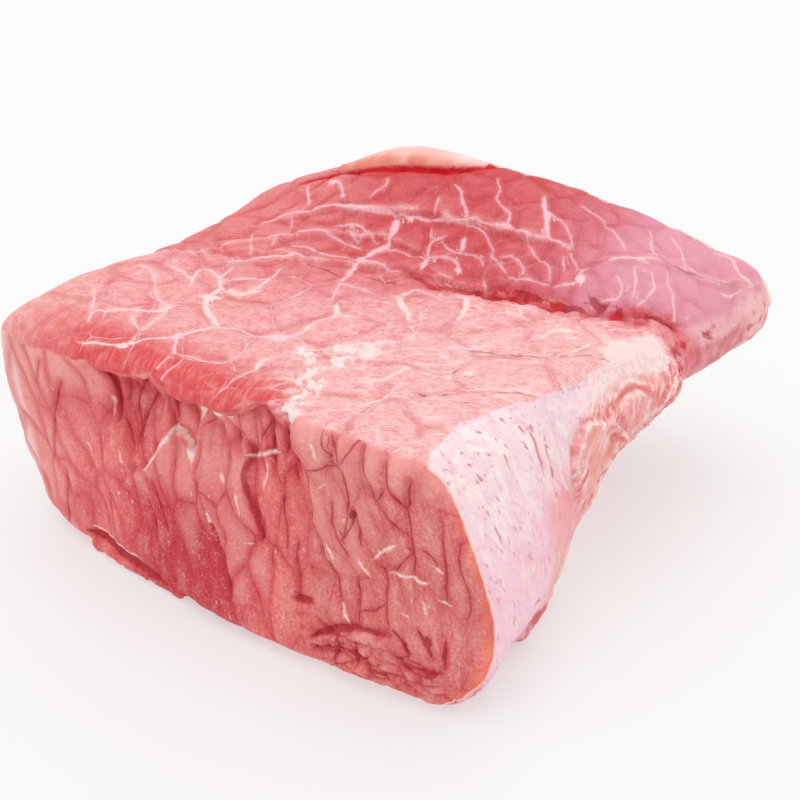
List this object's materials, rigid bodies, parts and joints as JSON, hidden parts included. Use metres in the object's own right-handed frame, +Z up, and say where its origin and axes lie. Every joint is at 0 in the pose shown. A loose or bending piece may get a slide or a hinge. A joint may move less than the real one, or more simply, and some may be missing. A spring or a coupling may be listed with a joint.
{
  "type": "raw beef roasting joint",
  "caption": "Thick raw boneless beef joint with a flat cut face across the grain, a raised ridge at the back and a thin overhanging tail, resting on its flat underside.",
  "frame": {"origin": "on the surface it rests on, under the middle of its bounding box", "axes": "+X to the right along the cut face, +Y from the cut face to the back, +Z up"},
  "size_m": [0.2028, 0.1872, 0.1031],
  "materials": {
    "raw_beef": "moist raw lean beef with white marbling, silverskin and a cream fat cap"
  },
  "bodies": {
    "root": {"beef_joint": "raw_beef"}
  },
  "joints": []
}
